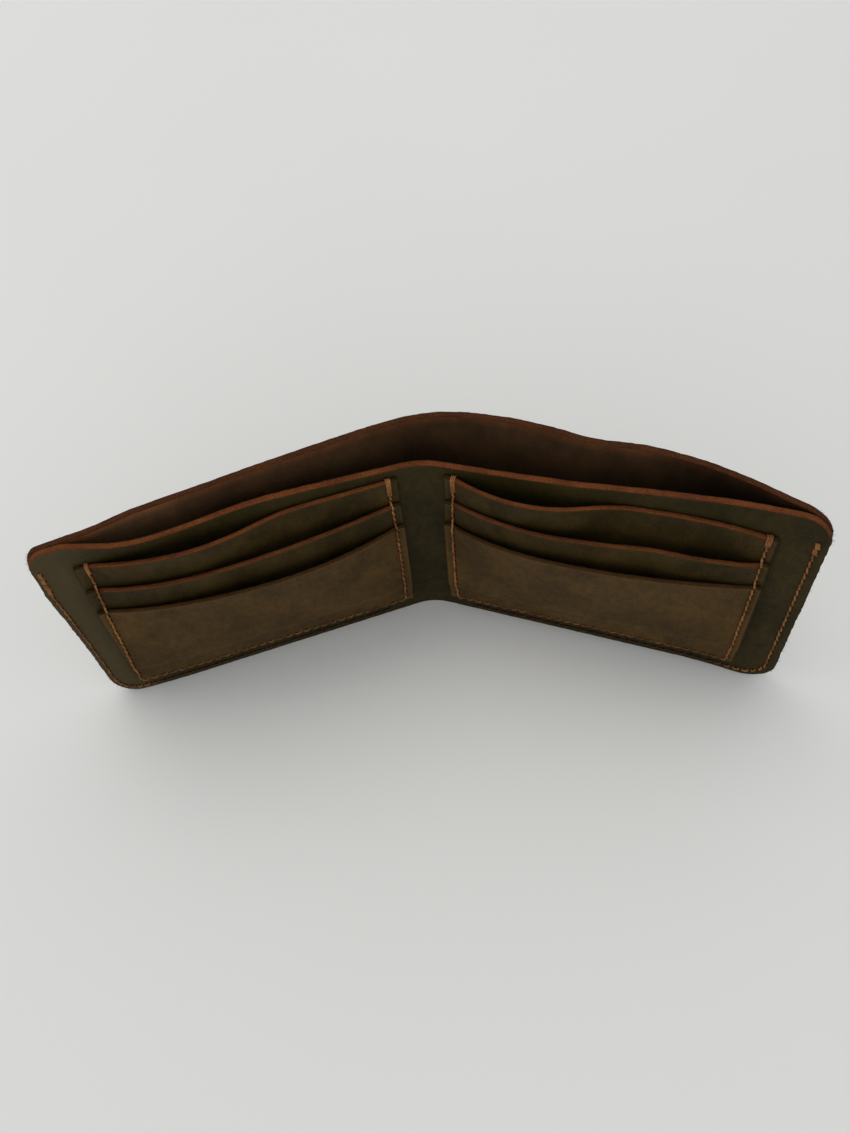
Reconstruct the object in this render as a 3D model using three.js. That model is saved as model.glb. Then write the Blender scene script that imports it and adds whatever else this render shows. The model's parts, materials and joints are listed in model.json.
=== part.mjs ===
// A leather bifold wallet, standing on its long edge and half open.
// Millimetres, +Z up. +X runs along the wallet and the two halves open towards -Y.
//
// Every sheet is laid out in flat leather coordinates (u, z, n) and then bent round the spine by fold():
//   u  distance along the wallet from the middle of the spine, negative on the left half
//   z  height above the bottom edge
//   n  depth, 0 at the back of the liner and growing towards the card pockets
import * as THREE from "three";

// Driving dimensions
const HEIGHT = 90;
const HALF_LENGTH = 114;
const CORNER_RADIUS = 12;
const HALF_FOLD = THREE.MathUtils.degToRad(16.2);
const SPINE_HALF_WIDTH = 6;
const HINGE_DEPTH = 8;
const GAP = 0.3;

// Leather thicknesses and the clear space between two pocket layers
const SHELL_THICKNESS = 1.8;
const LINER_THICKNESS = 1.7;
const POCKET_THICKNESS = 1.2;
const PLY_GAP = 0.35;

// Liner: its top edge is cut lower over the spine than at the ends
const LINER_DIP = 8.6;
const LINER_DIP_REACH = 108;

// Liner: its free upper part leans forwards and backwards from this height up
const LEAN_START = 74;

// Left end: it is cut this much shorter than the right end at the top, and more at the foot
const LEFT_SHORT_TOP = 1.6;
const LEFT_SHORT_FOOT = 3.6;

// Both ends lean back at the top and stand forward at the foot, turning about one level
const LEFT_TWIST = 3;
const RIGHT_TWIST = 4.5;
const TWIST_LEVEL = 54;

// Ends: from here outwards the left end curves back and the right end curves forward
const CURL_START = 82;
const LEFT_CURL = -1.6;
const RIGHT_CURL = 2.5;

// Pocket stack, as distances from the spine, and its seam
const STACK_START = 7.5;
const STACK_END = 101;
const STACK_BOTTOM = 8.3;
const STITCH_START = 10.3;
const STITCH_END = 98.6;
const LEFT_STITCH_TOP = 97.2;
const LEFT_STITCH_FOOT = 100.3;
const STITCH_BOTTOM = 11.2;
const FOOT_SEAM = 2;
const FOOT_STEP = 6;

// Edge seam round the two ends and along the bottom, and the unstitched run over the spine
const EDGE_INSET = { left: 2.2, right: 3 };
const EDGE_BOTTOM = 2.6;
const EDGE_SEAM_TOP = HEIGHT - CORNER_RADIUS;
const EDGE_SEAM_START = 14.3;

// Thread
const THREAD = 0.6;
const THREAD_LIFT = 0.2;
const FOOT_THREAD = 0.15;

const LEATHER = 0x4a3c28;
const FLESH_SIDE = 0x3c2a1e;
const WAXED_THREAD = 0x96602f;

const spineRadius = SPINE_HALF_WIDTH / HALF_FOLD;
const shellDepth = -GAP - SHELL_THICKNESS;

const clamp01 = (x) => THREE.MathUtils.clamp(x, 0, 1);
const arch = (x, power = 1) => Math.max(0, 1 - x * x) ** power;

// A smooth hump over distances from the spine, from start through its peak to end
function hump(s, start, peak, end, power) {
  const reach = s < peak ? peak - start : end - peak;
  return arch((s - peak) / reach, power);
}

// Card pockets from the liner outwards. foot and mouth are the heights of the lower and upper edge.
// left and right say how far the mouth bows open at a distance s from the spine.
const POCKETS = [
  {
    name: "back",
    foot: 23,
    mouth: 78.2,
    left: (s) => 4.5 * hump(s, 42, 69, LEFT_STITCH_TOP, 1.2),
    right: (s) => 5 * hump(s, STITCH_START, 32, 54, 1) - 1.3 * hump(s, 50, 74, STITCH_END, 1),
  },
  {
    name: "middle",
    foot: 13,
    mouth: 67.6,
    left: (s) => 4.8 * hump(s, STITCH_START, 66, LEFT_STITCH_TOP, 1),
    right: (s) => 5.2 * hump(s, STITCH_START, 40, 66, 1) + 3 * hump(s, 52, 80, STITCH_END, 0.7),
  },
  {
    name: "front",
    foot: STACK_BOTTOM,
    mouth: 58,
    left: (s) => 6.3 * hump(s, STITCH_START, 50, LEFT_STITCH_TOP, 0.9),
    right: (s) => 6.1 * hump(s, STITCH_START, 44, STITCH_END, 0.75),
  },
];

// Bends a flat point round the spine. The spine is an arc, and each half is straight.
function fold(u, z, flatDepth) {
  const side = Math.sign(u);
  const s = Math.abs(u);
  const twist = u < 0 ? LEFT_TWIST : RIGHT_TWIST;
  const curl = u < 0 ? LEFT_CURL : RIGHT_CURL;
  const end = clamp01((s - CURL_START) / (HALF_LENGTH - CURL_START));
  const n = flatDepth + (twist * (TWIST_LEVEL - z) * s) / (HEIGHT * HALF_LENGTH) + curl * end ** 2;
  const angle = Math.min(s / spineRadius, HALF_FOLD);
  const beyond = Math.max(0, s - SPINE_HALF_WIDTH);
  const x = (spineRadius - n) * Math.sin(angle) + beyond * Math.cos(angle);
  const y = (spineRadius - n) * Math.cos(angle) - beyond * Math.sin(angle) - spineRadius;
  return new THREE.Vector3(side * x, y, z);
}

// The left margin is narrower than the right one, and most of all at the bottom edge
function taper(u, z) {
  const margin = clamp01((-u - STACK_END) / (HALF_LENGTH - STACK_END));
  return u + margin * THREE.MathUtils.lerp(LEFT_SHORT_FOOT, LEFT_SHORT_TOP, z / HEIGHT);
}

// How far the rounded corner has cut into the height at u
function cornerRise(u) {
  const x = Math.max(0, Math.abs(u) - (HALF_LENGTH - CORNER_RADIUS));
  return CORNER_RADIUS - Math.sqrt(Math.max(0, CORNER_RADIUS ** 2 - x ** 2));
}

// Belly of the outer shell's top edge, as [distance from the spine, distance behind the liner]
const SHELL_TOP = [
  [-97, 0],
  [-78, 1.6],
  [-60, 3.2],
  [-38, 5.1],
  [-14, 6.8],
  [-2, 7.4],
  [9, 9.8],
  [21, 10.7],
  [33, 10.2],
  [47, 8.6],
  [62, 9.1],
  [76, 7.6],
  [90, 4.4],
  [104, 0.8],
  [112, 0],
];
const shellTop = new THREE.CubicInterpolant(
  SHELL_TOP.map(([u]) => u),
  SHELL_TOP.map(([, depth]) => depth),
  1,
);

// How far the outer shell stands behind the liner, with a small belly at the bottom of the spine too
function shellBelly(u, z) {
  const bottom = 4 * arch(u / (EDGE_SEAM_START + 2), 2);
  return THREE.MathUtils.lerp(bottom, shellTop.evaluate(u)[0], (z / HEIGHT) ** 1.3);
}

// How far the liner's upper part leans towards the pockets, and away from them on the right half
function linerBow(u, z) {
  const lean = clamp01((z - LEAN_START) / (HEIGHT - LEAN_START));
  const left = 7 * hump(-u, 50, 81, 103, 1.3) - 1.5 * arch((u + 30) / 24);
  const right = -1.6 * arch((u - 74) / 28) * (z / HEIGHT) * (1 - 0.8 * lean);
  return left * lean ** 1.5 + right;
}

function linerTop(u) {
  const share = Math.min(1, Math.abs(u) / LINER_DIP_REACH);
  return HEIGHT - LINER_DIP * (1 - share ** 1.6);
}

// Depth of a pocket's back: it steps forward above the foot of each pocket behind it
function pocketDepth(index, z) {
  const steps = POCKETS.slice(0, index).map((behind) => clamp01((z - behind.foot + FOOT_STEP) / FOOT_STEP));
  const layers = steps.reduce((sum, step) => sum + step, 1);
  return LINER_THICKNESS + PLY_GAP + (layers - 1) * (POCKET_THICKNESS + PLY_GAP);
}

function pocketBow(index, u, z) {
  const pocket = POCKETS[index];
  const seam = index === POCKETS.length - 1 ? STITCH_BOTTOM : pocket.foot + FOOT_SEAM;
  const lift = clamp01((z - seam) / (pocket.mouth - seam)) ** 1.3;
  const bow = u < 0 ? pocket.left : pocket.right;
  return bow(Math.abs(u)) * lift;
}

const spread = (from, to, count) => Array.from({ length: count + 1 }, (_, i) => from + ((to - from) * i) / count);

// A closed sheet: one column of points for each u, one row for each share of the height between its edges.
// place(u, z, face) gives the flat point, where face is 0 on the back and 1 on the front.
function sheet(columns, rows, bottom, top, place) {
  const geometry = new THREE.BoxGeometry(1, 1, 1, columns.length - 1, rows.length - 1, 1);
  const position = geometry.attributes.position;
  for (let i = 0; i < position.count; i++) {
    const u = columns[Math.round((position.getX(i) + 0.5) * (columns.length - 1))];
    const share = rows[Math.round((position.getY(i) + 0.5) * (rows.length - 1))];
    const z = THREE.MathUtils.lerp(bottom(u), top(u), share);
    const [flatU, n] = place(u, z, position.getZ(i) + 0.5);
    const point = fold(flatU, z, n);
    position.setXYZ(i, point.x, point.y, point.z);
  }
  geometry.computeVertexNormals();
  return geometry;
}

// A closed strand of square section through stations { at, width, out } in flat coordinates (u, z, n).
// width points across the strand and out points away from the leather.
function strand(stations, thickness) {
  const geometry = new THREE.BoxGeometry(1, 1, 1, stations.length - 1, 1, 1);
  const position = geometry.attributes.position;
  for (let i = 0; i < position.count; i++) {
    const { at, width, out } = stations[Math.round((position.getX(i) + 0.5) * (stations.length - 1))];
    const flat = at.clone().addScaledVector(width, position.getY(i) * thickness);
    flat.addScaledVector(out, position.getZ(i) * thickness);
    const point = fold(taper(flat.x, flat.y), flat.y, flat.z);
    position.setXYZ(i, point.x, point.y, point.z);
  }
  geometry.computeVertexNormals();
  return geometry;
}

function part(name, geometry, color) {
  const material = new THREE.MeshStandardMaterial({ color, roughness: 0.7, metalness: 0 });
  const mesh = new THREE.Mesh(geometry, material);
  mesh.name = name;
  return mesh;
}

// Columns of one half, as distances from the spine: they meet the pocket seams and follow the round corner
const pocketColumns = {
  left: spread(STITCH_START, LEFT_STITCH_TOP, 12),
  right: spread(STITCH_START, STITCH_END, 12),
};
const cornerColumns = spread(0, Math.PI / 2, 5).map(
  (angle) => HALF_LENGTH - CORNER_RADIUS + CORNER_RADIUS * Math.sin(angle),
);
const mirrored = (columns) => columns.map((u) => -u).reverse();
const onSide = (side, columns) => (side === "left" ? mirrored(columns) : columns);
const sheetRows = spread(0, 1, 8);

function shellPart(name, columns) {
  const place = (u, z, face) => [taper(u, z), shellDepth + SHELL_THICKNESS * face - shellBelly(u, z)];
  const geometry = sheet(columns, sheetRows, cornerRise, (u) => HEIGHT - cornerRise(u), place);
  return part(name, geometry, FLESH_SIDE);
}

function linerPart(name, columns) {
  const place = (u, z, face) => [taper(u, z), LINER_THICKNESS * face + linerBow(u, z)];
  const geometry = sheet(columns, sheetRows, cornerRise, (u) => linerTop(u) - cornerRise(u), place);
  return part(name, geometry, LEATHER);
}

function pocketPart(side, index) {
  const { name, foot, mouth } = POCKETS[index];
  const columns = onSide(side, [STACK_START, ...pocketColumns[side], STACK_END]);
  const bends = POCKETS.slice(0, index).flatMap((behind) => [behind.foot - FOOT_STEP, behind.foot]);
  const heights = [foot, STITCH_BOTTOM, ...bends, ...spread(28, mouth, 5)].filter((z) => z >= foot);
  const rows = [...new Set(heights)].sort((a, b) => a - b).map((z) => (z - foot) / (mouth - foot));
  const place = (u, z, face) => [u, pocketDepth(index, z) + POCKET_THICKNESS * face + pocketBow(index, u, z)];
  const geometry = sheet(columns, rows, () => foot, () => mouth, place);
  return part(`${side}_pocket_${name}`, geometry, LEATHER);
}

// A station of the right half, turned over for the left half
function station(side, at, width, out) {
  const flip = side === "left" ? -1 : 1;
  const turn = ([x, y, z], sign) => new THREE.Vector3(sign * flip * x, sign * y, sign * z);
  return { at: turn(at, 1), width: turn(width, flip), out: turn(out, 1) };
}

// Distance of a stack's outer seam from the spine. On the left it slants out towards the foot.
function outerSeam(side, z) {
  const share = (z - STITCH_BOTTOM) / (POCKETS[0].mouth - STITCH_BOTTOM);
  return side === "left" ? THREE.MathUtils.lerp(LEFT_STITCH_FOOT, LEFT_STITCH_TOP, share) : STITCH_END;
}

// Thread round one pocket stack: it hooks over the back pocket, runs down, along the bottom and up again
function pocketThread(side) {
  const lift = THREAD_LIFT + THREAD / 2;
  const [back, middle, front] = POCKETS;
  const onFront = (index, z) => pocketDepth(index, z) + POCKET_THICKNESS + lift;
  const hook = [back.mouth + lift, LINER_THICKNESS + lift];
  const bends = [middle.foot - FOOT_STEP, middle.foot, back.foot - FOOT_STEP, back.foot];
  const climb = [
    ...bends.filter((z) => z > STITCH_BOTTOM).map((z) => [z, onFront(2, z)]),
    [front.mouth + lift, onFront(2, front.mouth)],
    [front.mouth + lift, onFront(1, front.mouth)],
    [middle.mouth + lift, onFront(1, middle.mouth)],
    [middle.mouth + lift, onFront(0, middle.mouth)],
    [back.mouth + lift, onFront(0, back.mouth)],
    hook,
  ];
  const up = (seam, sign) =>
    climb.map(([z, n]) => station(side, [seam(z), z, n], [sign, 0, 0], outOf(z, n, climb)));
  const low = onFront(2, STITCH_BOTTOM);
  const down = up(() => STITCH_START, 1).reverse();
  const corner = (u, sign) => station(side, [u, STITCH_BOTTOM, low], [sign, 1, 0], [0, 0, 1]);
  const across = pocketColumns[side]
    .slice(1, -1)
    .map((u) => station(side, [u, STITCH_BOTTOM, low], [0, 1, 0], [0, 0, 1]));
  const far = corner(outerSeam(side, STITCH_BOTTOM), -1);
  const run = [...down, corner(STITCH_START, 1), ...across, far, ...up((z) => outerSeam(side, z), -1)];
  return part(`${side}_pocket_thread`, strand(run, THREAD), WAXED_THREAD);
}

// Which way is away from the leather on a climbing run: forwards, and upwards too at each step
function outOf(z, n, climb) {
  const i = climb.findIndex(([height, depth]) => height === z && depth === n);
  const level = ([a], [b]) => Math.abs(a - b) < 1e-6;
  const before = i > 0 && level(climb[i - 1], climb[i]);
  const after = i < climb.length - 1 && level(climb[i], climb[i + 1]);
  if (i === climb.length - 1) return [0, 1, 0];
  return before || after ? [0, 1, 1] : [0, 0, 1];
}

// Thread of one edge seam: along the front, round the end of the leather and back along the outer shell
function edgeThread(side) {
  const lift = THREAD_LIFT + THREAD / 2;
  const frontDepth = LINER_THICKNESS + lift;
  const backDepth = shellDepth - lift;
  const end = HALF_LENGTH - EDGE_INSET[side];
  const radius = CORNER_RADIUS - EDGE_INSET[side];
  const centre = [end - radius, EDGE_BOTTOM + radius];
  const bottomRun = spread(EDGE_SEAM_START + 1, centre[0], 11).map((u) => ({ at: [u, EDGE_BOTTOM], width: [0, 1] }));
  const cornerRun = spread(0, Math.PI / 2, 6)
    .slice(1)
    .map((angle) => ({
      at: [centre[0] + radius * Math.sin(angle), centre[1] - radius * Math.cos(angle)],
      width: [-Math.sin(angle), Math.cos(angle)],
    }));
  const sideRun = spread(centre[1], EDGE_SEAM_TOP, 5)
    .slice(1, -1)
    .map((z) => ({ at: [end, z], width: [-1, 0] }));
  const outline = [...bottomRun, ...cornerRun, ...sideRun];
  const belly = (u, z) => shellBelly(side === "left" ? -u : u, z);
  const over = HALF_LENGTH + lift;
  const top = EDGE_SEAM_TOP;
  const frontRun = outline.map(({ at, width }) => station(side, [...at, frontDepth], [...width, 0], [0, 0, 1]));
  const backRun = outline.map(({ at, width }) =>
    station(side, [...at, backDepth - belly(...at)], [...width, 0], [0, 0, -1]),
  );
  const wrap = [
    station(side, [end, top, frontDepth], [-1, 1, 0], [0, 0, 1]),
    station(side, [over, top, frontDepth], [0, 1, 0], [1, 0, 1]),
    station(side, [over, top, backDepth - belly(over, top)], [0, 1, 0], [1, 0, -1]),
    station(side, [end, top, backDepth - belly(end, top)], [-1, 1, 0], [0, 0, -1]),
  ];
  const run = [...frontRun, ...wrap, ...backRun.reverse()];
  return part(`${side}_edge_thread`, strand(run, THREAD), WAXED_THREAD);
}

// Hidden straight seam that fastens the foot of a pocket to the liner
function footThread(side, index) {
  const { name, foot } = POCKETS[index];
  const height = foot + FOOT_SEAM;
  const depth = pocketDepth(index, height) + POCKET_THICKNESS + PLY_GAP / 2;
  const run = pocketColumns[side]
    .slice(1, -1)
    .map((u) => station(side, [u, height, depth], [0, THREAD / FOOT_THREAD, 0], [0, 0, 1]));
  return part(`${side}_foot_thread_${name}`, strand(run, FOOT_THREAD), WAXED_THREAD);
}

function half(side) {
  const liner = [SPINE_HALF_WIDTH + GAP / 2, ...pocketColumns[side], ...cornerColumns];
  const shell = [EDGE_SEAM_START + GAP / 2, ...pocketColumns[side].slice(1), ...cornerColumns];
  return [
    shellPart(`outer_shell_${side}`, onSide(side, shell)),
    linerPart(`liner_${side}`, onSide(side, liner)),
    ...POCKETS.map((_, index) => pocketPart(side, index)),
    pocketThread(side),
    edgeThread(side),
    footThread(side, 0),
    footThread(side, 1),
  ];
}

function spine() {
  const shellEdge = EDGE_SEAM_START - GAP / 2;
  const linerEdge = SPINE_HALF_WIDTH - GAP / 2;
  return [
    shellPart("outer_shell_spine", spread(-shellEdge, shellEdge, 10)),
    linerPart("liner_spine", spread(-linerEdge, linerEdge, 4)),
  ];
}

const wallet = new THREE.Group();
wallet.add(...half("left"), ...spine(), ...half("right"));

// The fold turns about an upright line at depth HINGE_DEPTH in front of the middle of the spine
export const hinge = fold(0, 0, HINGE_DEPTH);

// Origin at the middle of the footprint, on the surface the wallet stands on
const bounds = new THREE.Box3().setFromObject(wallet);
const middle = bounds.getCenter(new THREE.Vector3());
wallet.position.set(-middle.x, -middle.y, -bounds.min.z);
hinge.add(wallet.position);

export default wallet;
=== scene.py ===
"""Looks of a leather bifold wallet that stands half open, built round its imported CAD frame.

Leather is laid out in flat coordinates, in millimetres, and bent round the spine by fold():
  u  along the wallet from the middle of the spine, negative on the left half
  z  height above the bottom edge
  n  depth, 0 at the back of the liner and growing towards the card pockets
"""

import json
import math
from functools import partial

import bpy
import numpy as np
from mathutils import Matrix


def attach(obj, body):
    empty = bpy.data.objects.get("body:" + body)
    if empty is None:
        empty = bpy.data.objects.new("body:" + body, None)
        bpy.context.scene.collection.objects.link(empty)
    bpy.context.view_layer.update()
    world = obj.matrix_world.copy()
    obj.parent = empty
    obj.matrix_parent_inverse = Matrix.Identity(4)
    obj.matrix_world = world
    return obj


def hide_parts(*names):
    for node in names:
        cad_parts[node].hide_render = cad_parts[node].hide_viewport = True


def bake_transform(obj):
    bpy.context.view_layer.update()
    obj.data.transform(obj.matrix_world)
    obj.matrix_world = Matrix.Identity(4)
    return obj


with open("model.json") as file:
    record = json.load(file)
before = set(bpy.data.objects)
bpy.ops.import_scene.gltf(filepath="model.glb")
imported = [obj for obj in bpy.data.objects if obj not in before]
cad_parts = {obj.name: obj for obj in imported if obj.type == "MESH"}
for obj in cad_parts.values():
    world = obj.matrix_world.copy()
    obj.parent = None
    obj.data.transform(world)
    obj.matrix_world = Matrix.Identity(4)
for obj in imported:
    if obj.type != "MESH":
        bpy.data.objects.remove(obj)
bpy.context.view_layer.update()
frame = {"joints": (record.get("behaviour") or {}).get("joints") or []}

MM = 0.001

# Dimensions that the CAD has too, in millimetres
HEIGHT = 90.0
HALF_LENGTH = 114.0
CORNER_RADIUS = 12.0
HALF_FOLD = math.radians(16.2)
SPINE_HALF_WIDTH = 6.0
HINGE_DEPTH = 8.0
SPINE_RADIUS = SPINE_HALF_WIDTH / HALF_FOLD

SHELL_THICKNESS = 1.8
LINER_THICKNESS = 1.7
POCKET_THICKNESS = 1.2
PLY_GAP = 0.35
GAP = 0.3

LINER_DIP, LINER_DIP_REACH = 8.6, 108.0
LEAN_START = 74.0
LEFT_SHORT_FOOT = 3.6
LEFT_TWIST, RIGHT_TWIST, TWIST_LEVEL = 3.0, 4.5, 54.0
LEFT_CURL, RIGHT_CURL, CURL_START = -1.6, 2.5, 82.0
STACK_START, STACK_END, STACK_BOTTOM = 7.5, 101.0, 8.3
STITCH_START, STITCH_END, STITCH_BOTTOM = 10.3, 98.6, 11.2
LEFT_STITCH_TOP, LEFT_STITCH_FOOT = 97.2, 100.3
LEFT_SPAN, RIGHT_SPAN = (STITCH_START, LEFT_STITCH_TOP), (STITCH_START, STITCH_END)
FOOT_SEAM, FOOT_STEP = 2.0, 6.0
LEFT_INSET, RIGHT_INSET, EDGE_BOTTOM, EDGE_SEAM_START = 2.2, 3.0, 2.6, 14.3
LEFT_SEAM_TOP = HEIGHT - CORNER_RADIUS
SHELL_DEPTH = -GAP - SHELL_THICKNESS
SHELL_TOP = np.array(
    [
        (-97, 0), (-78, 1.6), (-60, 3.2), (-38, 5.1), (-14, 6.8), (-2, 7.4), (9, 9.8), (21, 10.7),
        (33, 10.2), (47, 8.6), (62, 9.1), (76, 7.6), (90, 4.4), (104, 0.8), (112, 0),
    ],
    float,
)  # fmt: skip

# Where the looks follow the real wallet more closely than the CAD's plain outline does
LEFT_SHORT_TOP = -0.4  # how much shorter the left end is at the top, before its corner is taken off
LEFT_CORNER_SHORT, LEFT_CORNER_START = 2.4, 66.0  # what the corner takes off, from a height up
TOP_LEFT_RADIUS, TOP_RIGHT_RADIUS = 5.5, 9.5
CORNER_DROP = 5.0  # how far the top edges fall at the left end
SHELL_FALL, LINER_FALL = (80.0, 1.2), (92.0, 1.1)  # where each begins to fall, and how sharply
LINER_LEAN, LINER_LEAN_END = 6.4, 101.0
RIGHT_SEAM_TOP = 80.3
EASE = 9.0  # how far the corners of the pocket mouths' bows and the liner's lean are smoothed over
FILL = 0.1  # each layer's back comes this much closer to the layer behind than in the CAD

# Finish
ARRIS = 0.42  # how far a cut edge stands out, rounded, from the flat faces
EDGE_RINGS = 7
SHELL_RAGGED, LINER_RAGGED, POCKET_RAGGED = 2.4, 2.2, 1.8  # how uneven each kind of cut edge is
COARSE, COARSE_SIZE, FINE, FINE_SIZE = 0.09, 1.7, 0.07, 0.6  # height and width of a cut edge's unevenness
PULL, PULL_WIDTH = 0.16, 0.6  # how deep and wide a seam presses the leather in
WAVE, WAVE_SIZE = 0.12, 17.0  # height and width of the front face's slow waves
STITCH = 3.0  # length of one stitch, hole to hole
STITCH_INSET = 0.14  # share of a stitch that each of its ends keeps clear of the hole's middle
TWISTS = 1.6  # turns of the two plies in one stitch
THREAD = 0.72
FOOT_THREAD_RADIUS = 0.07
FIBRE = 0.05
LINER_REACH, SHELL_REACH = 5.4, 13.0  # how far each side of the fold a piece would bend; nothing here uses them
INNER_TACK, OUTER_TACK = 6.5, 3.8  # lengths of the tacks over the back pockets' mouths
BESIDE = 0.38  # the edge seams' last stitches are sewn twice, this far each side of the line
LEFT_DOUBLED, RIGHT_DOUBLED = 4, 2  # how many of them are

# The fold axis stands on the joint; the middle of the spine is HINGE_DEPTH behind it
hinge = [c / MM for c in frame["joints"][0]["pos_m"]]
SPINE_X, SPINE_Y = hinge[0], hinge[1] + HINGE_DEPTH


# ---------------------------------------------------------------- shape in flat leather coordinates


def arch(x, power=1.0):
    return np.maximum(0.0, 1 - x * x) ** power


def hump(s, start, peak, end, power=1.0):
    """A smooth hump over distances from the spine, from start through its peak to end."""
    return arch((s - peak) / np.where(s < peak, peak - start, end - peak), power)


def back_left(s):
    return 4.5 * hump(s, 42, 69, LEFT_STITCH_TOP, 1.2)


def back_right(s):
    return 5.0 * hump(s, STITCH_START, 32, 54) - 1.3 * hump(s, 50, 74, STITCH_END)


def middle_left(s):
    return 4.8 * hump(s, STITCH_START, 66, LEFT_STITCH_TOP)


def middle_right(s):
    return 5.2 * hump(s, STITCH_START, 40, 66) + 3.0 * hump(s, 52, 80, STITCH_END, 0.7)


def front_left(s):
    return 6.3 * hump(s, STITCH_START, 50, LEFT_STITCH_TOP, 0.9)


def front_right(s):
    return 6.1 * hump(s, STITCH_START, 44, STITCH_END, 0.75)


def eased(curve, start, end):
    """The curve with its corners eased over a few millimetres, and its ends left where they are."""

    def smooth(s):
        reach = np.clip(np.minimum(s - start, end - s), 0, EASE)
        return sum(curve(s + reach * k / 4) * (5 - abs(k)) for k in range(-4, 5)) / 25

    return smooth


# Card pockets from the liner outwards: name, foot, mouth, and the bow of the mouth on each side
POCKETS = [
    ("back", 23.0, 78.2, eased(back_left, *LEFT_SPAN), eased(back_right, *RIGHT_SPAN)),
    ("middle", 13.0, 67.6, eased(middle_left, *LEFT_SPAN), eased(middle_right, *RIGHT_SPAN)),
    ("front", STACK_BOTTOM, 58.0, eased(front_left, *LEFT_SPAN), eased(front_right, *RIGHT_SPAN)),
]


def fold(u, z, n):
    """Bends flat points round the spine. Returns metres in the row frame, one row per point."""
    u, z, n = (np.ravel(a).astype(float) for a in np.broadcast_arrays(u, z, n))
    s = np.abs(u)
    n = n + np.where(u < 0, LEFT_TWIST, RIGHT_TWIST) * (TWIST_LEVEL - z) * s / (HEIGHT * HALF_LENGTH)
    end = np.clip((s - CURL_START) / (HALF_LENGTH - CURL_START), 0, 1)
    n = n + np.where(u < 0, LEFT_CURL, RIGHT_CURL) * end**2
    angle = np.minimum(s / SPINE_RADIUS, HALF_FOLD)
    beyond = np.maximum(0, s - SPINE_HALF_WIDTH)
    x = (SPINE_RADIUS - n) * np.sin(angle) + beyond * np.cos(angle)
    y = (SPINE_RADIUS - n) * np.cos(angle) - beyond * np.sin(angle) - SPINE_RADIUS
    return np.stack([np.sign(u) * x + SPINE_X, y + SPINE_Y, z], 1) * MM


def taper(u, z):
    """The left margin is narrower than the right one, most of all at the bottom edge."""
    margin = np.clip((-u - STACK_END) / (HALF_LENGTH - STACK_END), 0, 1)
    corner = LEFT_CORNER_SHORT * np.clip((z - LEFT_CORNER_START) / (HEIGHT - LEFT_CORNER_START), 0, 1) ** 0.9
    return u + margin * (LEFT_SHORT_FOOT + (LEFT_SHORT_TOP - LEFT_SHORT_FOOT) * (z / HEIGHT) ** 2 + corner)


def track(knots, x):
    """A smooth line through knots, each with x and a value."""
    at, value = knots[:, 0], knots[:, 1]
    x = np.clip(x, at[0], at[-1])
    i = np.clip(np.searchsorted(at, x, side="right") - 1, 0, len(at) - 2)
    slope = np.zeros(len(at))
    slope[1:-1] = (value[2:] - value[:-2]) / (at[2:] - at[:-2])
    step = at[i + 1] - at[i]
    t = (x - at[i]) / step
    start, end = slope[i] * step, slope[i + 1] * step
    rise = value[i + 1] - value[i]
    return value[i] + t * (start + t * (3 * rise - 2 * start - end + t * (start + end - 2 * rise)))


def shell_belly(u, z):
    """How far the outer shell stands behind the liner."""
    bottom = 4 * arch(u / (EDGE_SEAM_START + 2), 2)
    share = (np.maximum(z, 0) / HEIGHT) ** 1.3
    return bottom * (1 - share) + track(SHELL_TOP, u) * share


def liner_bow(u, z):
    """How far the liner bends out of its plane towards the pockets.

    On the left half its upper part leans that way, and on the right half its middle bows back."""
    lean = np.clip((z - LEAN_START) / (HEIGHT - LEAN_START), 0, 1)
    forward = lambda s: LINER_LEAN * hump(s, 50, 81, LINER_LEAN_END, 1.3) - 1.5 * arch((s - 30) / 24)
    left = eased(forward, 0, 104)(np.maximum(-u, 0))
    right = -1.6 * arch((u - 74) / 28) * np.maximum(z, 0) / HEIGHT * (1 - 0.8 * lean)
    return left * lean**1.5 + right


def liner_top(u):
    share = np.minimum(1, np.abs(u) / LINER_DIP_REACH)
    return HEIGHT - LINER_DIP * (1 - share**1.6)


def step_up(x):
    """Rises smoothly from 0 to 1 as x does."""
    x = np.clip(x, 0, 1)
    return x * x * (3 - 2 * x)


def liner_front(u, z):
    return liner_bow(u, z) + LINER_THICKNESS


def liner_behind(u, z):
    return liner_bow(u, z) - FILL


def shell_behind(u, z):
    return SHELL_DEPTH - shell_belly(u, z)


def pocket_back(index, u, z):
    """Depth of a pocket's back, bow included."""
    _, foot, mouth, left, right = POCKETS[index]
    feet = [pocket[1] for pocket in POCKETS[:index]]
    layers = sum((step_up((z - height + FOOT_STEP) / FOOT_STEP) for height in feet), 0.0 * z)
    depth = LINER_THICKNESS + PLY_GAP + layers * (POCKET_THICKNESS + PLY_GAP)
    seam = STITCH_BOTTOM if index == 2 else foot + FOOT_SEAM
    lift = np.clip((z - seam) / (mouth - seam), 0, None) ** 1.3
    s = np.abs(u)
    return depth + np.where(u < 0, left(s), right(s)) * lift


def pocket_front(index, u, z):
    return pocket_back(index, u, z) + POCKET_THICKNESS


def stack_front(u, z):
    """Depth of the front of whichever pocket is outermost at a height on the seam."""
    depth = liner_front(u, z)
    for index, (_, foot, mouth, _, _) in enumerate(POCKETS):
        depth = np.where((z > foot) & (z < mouth), pocket_front(index, u, z), depth)
    return depth


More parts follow.
